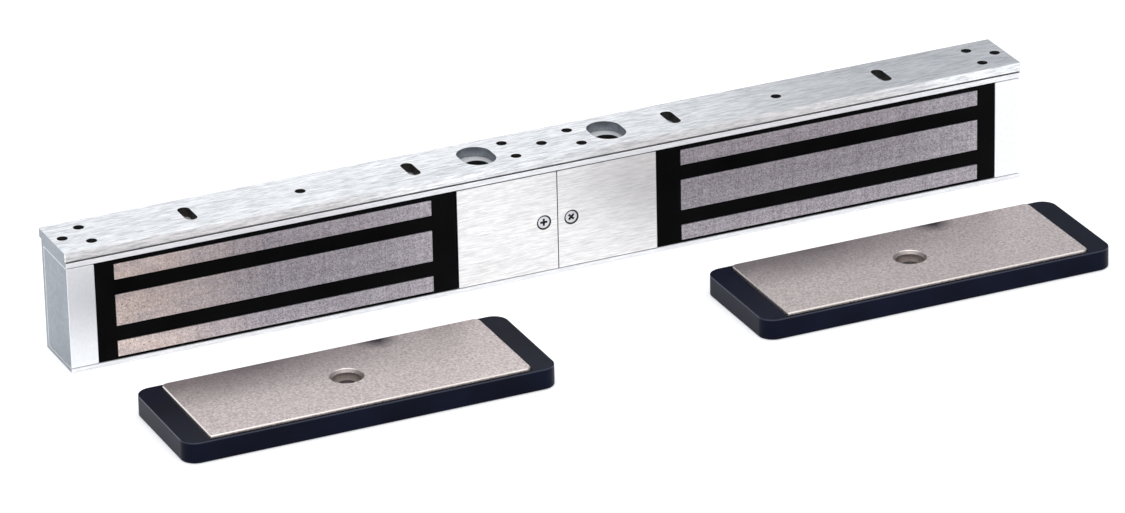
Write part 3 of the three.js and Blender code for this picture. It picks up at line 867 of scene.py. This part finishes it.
def cover_screw(label, side):
    """Countersunk cross-recess screw; the right one stopped an eighth of a turn further on."""
    name = f"cover_screw_{label}"
    low, high = box(name)
    length = high.y - low.y
    neck, rim = -SCREW["head_depth"], -0.25
    head, shank, pitch, tip = SCREW["head"], SCREW["shank"], SCREW["pitch"], SCREW["tip"]
    path = [(0, -length), (shank - pitch, -length), (shank, tip - length)]
    path += threaded(shank, pitch, tip + 0.4 - length, neck - 1.2)
    path += [(shank, neck - 0.6), (shank, neck), (head, rim), (head, 0), (0, 0)]
    turn = math.pi / 4 if side > 0 else 0
    arms = [cross_arm().placed(Matrix.Rotation(turn + quarter, 4, "Z")) for quarter in (0, math.pi / 2)]
    shape = cut(turned(path, 0.1), *arms)
    place = move((low.x + high.x) / 2, low.y, FACE_MIDDLE) @ FRONT
    obj = piece(name, f"screw_{label}", "zinc_steel", (shape, ZINC), place=place)
    # Painted shade in the cross recess.
    paint(obj, HOLLOW_SHADE, lambda centre, _normal: 0.1 < centre.y - low.y < RECESS["depth"] + 0.1)


def cover_post(label):
    """A hexagonal standoff, bored and threaded from its front for the cover's screw."""
    name = f"cover_post_{label}"
    low, high = box(name)
    middle = (low + high) / 2
    back, front = -high.y, -low.y
    length, depth, bore = front - back, POST["depth"], POST["bore"]
    chamfer, sink = POST["chamfer"], POST["countersink"]
    outer, hole = hexagon(middle.x, middle.z, POST["across"]), circle(middle.x, middle.z)
    solid = Solid().wall(outer, [(-chamfer, back), (0, back), (0, front), (-chamfer, front)], 0.25)
    solid.cap(back, (outer, -chamfer)).cap(front, (outer, -chamfer), (hole, bore + sink))
    wall = [(bore + sink, length), (bore, length - sink)]
    wall += threaded(bore, SCREW["pitch"], length - depth, length - 1)[::-1]
    wall.append((0, length - depth - 1))
    solid.wall(hole, [(radius, back + z) for radius, z in wall])
    piece(name, "lock_body", "zinc_steel", (solid.closed().placed(FRONT), ZINC))


def board_parts(label, side, front):
    """Small chips soldered to the board's face, in rows with a place left empty here and there."""
    low, high = box(f"circuit_board_{label}")
    middle = (low + high) / 2
    sunk = front - 0.01
    chips, pads = Solid(), Solid()
    for row in range(3):
        for column in range(4):
            if (row + column) % 4 == 3:
                continue
            x = middle.x + (column - 3.2) * CHIP["column"] * side
            z = middle.z + 3 + row * CHIP["row"]
            outline = rounded_rectangle(x, z, CHIP["length"], CHIP["width"], 0.1, steps=2)
            chips.add(slab(outline, [], sunk, front + CHIP["height"], 0.06))
            for end in (-CHIP_PAD["from_middle"], CHIP_PAD["from_middle"]):
                outline = rounded_rectangle(x + end, z, CHIP_PAD["length"], CHIP_PAD["width"], 0.1, steps=2)
                pads.add(slab(outline, [], sunk, front + CHIP_PAD["height"], 0.05))
    return chips.placed(FRONT), pads.placed(FRONT)


def circuit_board(label, side):
    name = f"circuit_board_{label}"
    low, high = box(name)
    inset = BOARD_HOLE["inset"]
    columns, rows = (low.x + inset, high.x - inset), (low.z + inset, high.z - inset)
    holes = [circle(x, z, BOARD_HOLE["radius"], 20) for x in columns for z in rows]
    solid = front_slab(name, 1.0, 0.08, *holes)
    chips, pads = board_parts(label, side, -low.y)
    piece(name, "lock_body", "circuit_board", (solid, BOARD), (chips, RESIN), (pads, SOLDER))


def clamp_screw(x, y, top):
    """The slotted screw down in the well of one way of the terminal block."""
    low, high, radius = top - CLAMP_SCREW["low"], top - CLAMP_SCREW["high"], WAY["screw"]
    head = turned([(0, low), (radius, low), (radius, high), (0, high)], 0.2, cx=x, cy=y)
    blade = rounded_rectangle(x, y, CLAMP_SCREW["slot_length"], CLAMP_SCREW["slot_width"], 0.05)
    return cut(head, prism(blade, top - CLAMP_SCREW["slot_low"], top))


def terminal_block(label):
    """Four-way screw terminal: a stepped body, a wire entry and a clamp screw in each way."""
    name = f"terminal_block_{label}"
    low, high = box(name)
    size = high - low
    step_y, step_z = low.y + size.y * 0.35, high.z - size.z * 0.25
    corners = [(low.y, low.z), (high.y, low.z), (high.y, high.z)]
    corners += [(step_y, high.z), (step_y, step_z), (low.y, step_z)]
    body = slab(squared(corners, 0.4), [], low.x, high.x, 0.25).placed(ALONG_X)
    entry_z, well_y = low.z + size.z * 0.3, (step_y + high.y) / 2
    well_low, well_top = high.z - WAY["well_depth"], high.z + 1
    tools, screws = [], Solid()
    for i in range(WAY["count"]):
        x = low.x + (i + 0.5) * size.x / WAY["count"]
        outline = rounded_rectangle(x, entry_z, WAY["entry"], WAY["entry"], 0.5)
        tools.append(prism(outline, -low.y - WAY["entry_depth"], -low.y + 1).placed(FRONT))
        path = [(0, well_low), (WAY["well"], well_low), (WAY["well"], well_top), (0, well_top)]
        tools.append(turned(path, cx=x, cy=well_y))
        screws.add(clamp_screw(x, well_y, high.z))
    piece(name, "lock_body", "terminal_plastic", (cut(body, *tools), TERMINAL), (screws, ZINC))


def surge_suppressor(label):
    """A disc with a soft, coated edge."""
    name = f"surge_suppressor_{label}"
    low, high = box(name)
    middle, radius = (low + high) / 2, (high.x - low.x) / 2
    face = radius - 0.4
    path = [(0, -high.y), (face, -high.y), (radius, -middle.y), (face, -low.y), (0, -low.y)]
    solid = turned(path, 1.2, cx=middle.x, cy=middle.z).placed(FRONT)
    piece(name, "lock_body", "suppressor_coating", (solid, SUPPRESSOR))


def board_spacer(label, letter):
    """A hexagonal spacer between the board and the back of the shell."""
    name = f"board_spacer_{label}_{letter}"
    low, high = box(name)
    middle = (low + high) / 2
    outer = hexagon(middle.x, middle.z, high.z - low.z)
    piece(name, "lock_body", "zinc_steel", (slab(outer, [], -high.y, -low.y, 0.15).placed(FRONT), ZINC))


def coil_lead(label, letter):
    """The CAD tube is right; it is only smoothed and given its insulation."""
    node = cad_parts[f"coil_lead_{label}_{letter}"]
    node.data.materials.clear()
    node.data.materials.append(INSULATION)
    smooth = node.modifiers.new("round", "SUBSURF")
    smooth.levels = smooth.render_levels = 2


# ------------------------------------------------------------------------- armatures


def pin_holes(label, y, radius):
    """Round outlines about the two guide pins of an armature."""
    holes = []
    for letter in "ab":
        low, high = box(f"guide_pin_{label}_{letter}")
        holes.append(circle((low.x + high.x) / 2, y, radius))
    return holes


def armature_tray(label):
    """A moulded tray with a rounded rim, a pocket for the steel and holes for the bolt and the pins."""
    name = f"armature_tray_{label}"
    low, high = box(name)
    steel_low, steel_high = box(f"armature_steel_{label}")
    size, middle = high - low, (low + high) / 2
    inner = steel_high - steel_low + Vector((2, 2, 0)) * TRAY["float"]
    outer = rounded_rectangle(middle.x, middle.y, size.x, size.y, TRAY["corner"], steps=16)
    corner, sharp = STEEL["corner"] + TRAY["float"], STEEL["sharp"] + TRAY["float"]
    pocket = rounded_rectangle(middle.x, middle.y, inner.x, inner.y, corner, corner, corner, sharp)
    holes = [circle(middle.x, middle.y, TRAY["bolt"])] + pin_holes(label, middle.y, PIN["room"])
    floor, rim, foot = low.z + TRAY["floor"], TRAY["rim"], 0.6
    solid = Solid().wall(outer, [(-2 * foot, low.z), (0, low.z), (0, high.z), (-rim, high.z)], foot)
    solid.wall(pocket, [(EDGE, high.z), (0, high.z), (0, floor)], EDGE / 2)
    solid.cap(high.z, (outer, -rim), (pocket, EDGE))
    for hole in holes:
        solid.wall(hole, [(2 * EDGE, low.z), (0, low.z), (0, floor), (2 * EDGE, floor)], EDGE)
    for z, outline, grow in ((low.z, outer, -2 * foot), (floor, pocket, 0)):
        solid.cap(z, (outline, grow), *[(hole, 2 * EDGE) for hole in holes])
    obj = piece(name, f"armature_{label}", "tray_plastic", (solid.closed(), TRAY_PLASTIC))
    # Painted highlight on the rim's rounding.
    paint(obj, TRAY_RIM_HIGHLIGHT, lambda centre, normal: 0.1 < normal.z < 0.98 and centre.z > high.z - rim)


def armature_steel_plate(label):
    """The floating plate: a stepped bolt hole from above, a washer's recess and two pin holes below."""
    name = f"armature_steel_{label}"
    low, high = box(name)
    size, middle = high - low, (low + high) / 2
    corner, sharp, chamfer = STEEL["corner"], STEEL["sharp"], STEEL["chamfer"]
    outer = rounded_rectangle(middle.x, middle.y, size.x, size.y, corner, corner, corner, sharp)
    bolt = circle(middle.x, middle.y, steps=96)
    top, base, foot = high.z, low.z, 0.6
    ledge, roof = BOLT_HOLE["ledge"], WASHER["recess_top"]
    rim = BOLT_HOLE["mouth"] + EDGE
    hole = [(rim, top), (BOLT_HOLE["mouth"], top - EDGE)]
    hole += [(BOLT_HOLE["radius"], top - BOLT_HOLE["chamfer"]), (BOLT_HOLE["radius"], ledge)]
    hole += [(BOLT_HOLE["bore"], ledge), (BOLT_HOLE["bore"], roof)]
    hole += [(WASHER["recess"], roof), (WASHER["recess"], base)]
    solid = Solid().wall(outer, [(-foot, base), (0, base), (0, top - chamfer)], EDGE)
    solid.wall(bolt, hole)
    pins = pin_holes(label, middle.y, PIN["hole"])
    for pin in pins:
        solid.wall(pin, [(EDGE, base), (0, base + EDGE), (0, PIN["hole_top"])])
        solid.cap(PIN["hole_top"], (pin, 0))
    solid.cap(base, (outer, -foot), (bolt, WASHER["recess"]), *[(pin, EDGE) for pin in pins])
    solid.cap(top, (outer, -chamfer), (bolt, rim))
    solid.wall(outer, [(0, top - chamfer), (-chamfer, top)])
    finish = armature_steel(label, middle)
    obj = piece(name, f"floating_steel_{label}", "armature_steel", (solid.closed(), finish))

    def in_hole(centre):
        return math.hypot(centre.x - middle.x, centre.y - middle.y) < rim

    paint(obj, BORED_STEEL, lambda centre, normal: normal.z < 0.95 and in_hole(centre))
    # The top chamfer and the bolt hole's rim: the glossier cut finish, which also stands as a painted
    # highlight.
    paint(obj, CUT_EDGE_AND_HIGHLIGHT, lambda centre, normal: 0.2 < normal.z < 0.95 and centre.z > top - chamfer)
    # Painted highlight on the ledge in the bolt hole.
    paint(obj, CUT_EDGE_AND_HIGHLIGHT, lambda centre, normal: in_hole(centre) and normal.z > 0.95 and centre.z < top - 1)


def washer(name, body, slot, material):
    """A flat ring that fills its CAD node's box."""
    low, high = box(name)
    middle = (low + high) / 2
    outer = circle(middle.x, middle.y, (high.x - low.x) / 2, 64)
    hole = circle(middle.x, middle.y, WASHER["bore"], 64)
    return piece(name, body, slot, (slab(outer, [hole], low.z, high.z, 0.08), material))


def rubber_washer(label):
    """A rubber ring with no body of its own; its place is baked into its mesh."""
    name = f"rubber_washer_{label}"
    obj = washer(name, None, "black_rubber", RUBBER)
    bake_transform(obj)


def guide_pin(label, letter):
    """A pin with both its ends chamfered."""
    name = f"guide_pin_{label}_{letter}"
    low, high = box(name)
    middle, radius = (low + high) / 2, (high.x - low.x) / 2
    end = 0.5
    path = [(0, low.z), (radius - end, low.z), (radius, low.z + end)]
    path += [(radius, high.z - end), (radius - end, high.z), (0, high.z)]
    solid = turned(path, 0.15, cx=middle.x, cy=middle.y)
    piece(name, f"floating_steel_{label}", "zinc_steel", (solid, ZINC))


# ------------------------------------------------------------------------- the object

mounting_plate()
housing_channel()
for label, side in SIDES.items():
    end_block(label, side)
    body_screw(label)
    piece(f"core_{label}", "lock_body", "core_steel", (core_solid(label), CORE_STEEL))
    coil(label)
    potting(label, side)
    cover_plate(label, side)
    cover_screw(label, side)
    cover_post(label)
    circuit_board(label, side)
    terminal_block(label)
    surge_suppressor(label)
    for letter in "ab":
        board_spacer(label, letter)
        coil_lead(label, letter)
        guide_pin(label, letter)
    armature_tray(label)
    armature_steel_plate(label)
    washer(f"lower_washer_{label}", f"armature_{label}", "zinc_steel", ZINC)
    rubber_washer(label)
    washer(f"upper_washer_{label}", f"washer_seat_{label}", "zinc_steel", ZINC)


# -------------------------------------------------------- floor, light, camera (metres)


def studio_floor():
    bpy.ops.mesh.primitive_plane_add(size=12, location=(0, 0, -0.0003))
    floor = bpy.context.object
    floor.name = "floor"
    finish = Finish("pale_floor")
    tone = finish.noise((3.0,) * 3)
    finish.set("Base Color", finish.mix(tone, colour(0.93, 0.93, 0.935), colour(0.95, 0.95, 0.955)))
    finish.set("Roughness", finish.between(tone, 0.7, 0.8))
    finish.shader.inputs["Emission Color"].default_value = colour(1.0, 1.0, 1.0)
    finish.shader.inputs["Emission Strength"].default_value = 0.36
    floor.data.materials.append(finish.material)


def area_light(name, place, target, size, power, tint=(1, 1, 1)):
    data = bpy.data.lights.new(name, "AREA")
    data.shape = "RECTANGLE"
    data.size, data.size_y = size
    data.energy = power
    data.color = tint
    obj = bpy.data.objects.new(name, data)
    bpy.context.scene.collection.objects.link(obj)
    obj.location = place
    obj.rotation_mode = "QUATERNION"
    obj.rotation_quaternion = (Vector(target) - Vector(place)).to_track_quat("-Z", "Y")


def studio_light():
    scene = bpy.context.scene
    world = bpy.data.worlds.new("studio")
    world.use_nodes = True
    background = world.node_tree.nodes["Background"]
    background.inputs["Color"].default_value = colour(0.86, 0.9, 0.96)
    background.inputs["Strength"].default_value = 0.58
    scene.world = world
    scene.view_settings.view_transform = "Standard"
    area_light("key", (-0.9, -0.7, 1.9), (-0.1, 0, 0), (2.4, 2.0), 16)
    area_light("front", (0.7, -1.3, 1.85), (0, 0, 0), (2.4, 1.8), 10, (1.0, 0.985, 0.96))
    area_light("top", (0.5, 0.3, 2.2), (0.1, 0, 0), (2.4, 2.4), 9)
    area_light("rear", (0.05, 0.85, 0.5), (-0.2, 0.06, 0.06), (0.8, 0.5), 0.8)
    area_light("rear_left", (-0.75, 0.85, 0.4), (-0.25, 0, 0), (0.5, 0.4), 0.6)


def camera():
    """The view: a long lens from the left front, its aim in the plane of the magnet faces."""
    azimuth, elevation, roll = (math.radians(a) for a in (-24.084, 24.147, -1.302))
    focal, sensor, distance = 217.9, 36.0, 3.4676
    aim = Vector((0, FACE_Y * MM, 0.035))
    off_centre = (-0.0025, 0.0238)
    level = math.cos(elevation)
    back = Vector((math.sin(azimuth) * level, -math.cos(azimuth) * level, math.sin(elevation)))
    right = Vector((math.cos(azimuth), math.sin(azimuth), 0))
    up = back.cross(right)
    x_axis = math.cos(roll) * right + math.sin(roll) * up
    y_axis = math.cos(roll) * up - math.sin(roll) * right
    data = bpy.data.cameras.new("camera")
    data.lens, data.sensor_width = focal, sensor
    data.clip_start, data.clip_end = 0.1, 50
    obj = bpy.data.objects.new("camera", data)
    bpy.context.scene.collection.objects.link(obj)
    place = aim + back * distance - off_centre[0] * x_axis - off_centre[1] * y_axis
    obj.matrix_world = Matrix.Translation(place) @ Matrix((x_axis, y_axis, back)).transposed().to_4x4()
    bpy.context.scene.camera = obj


studio_floor()
studio_light()
camera()
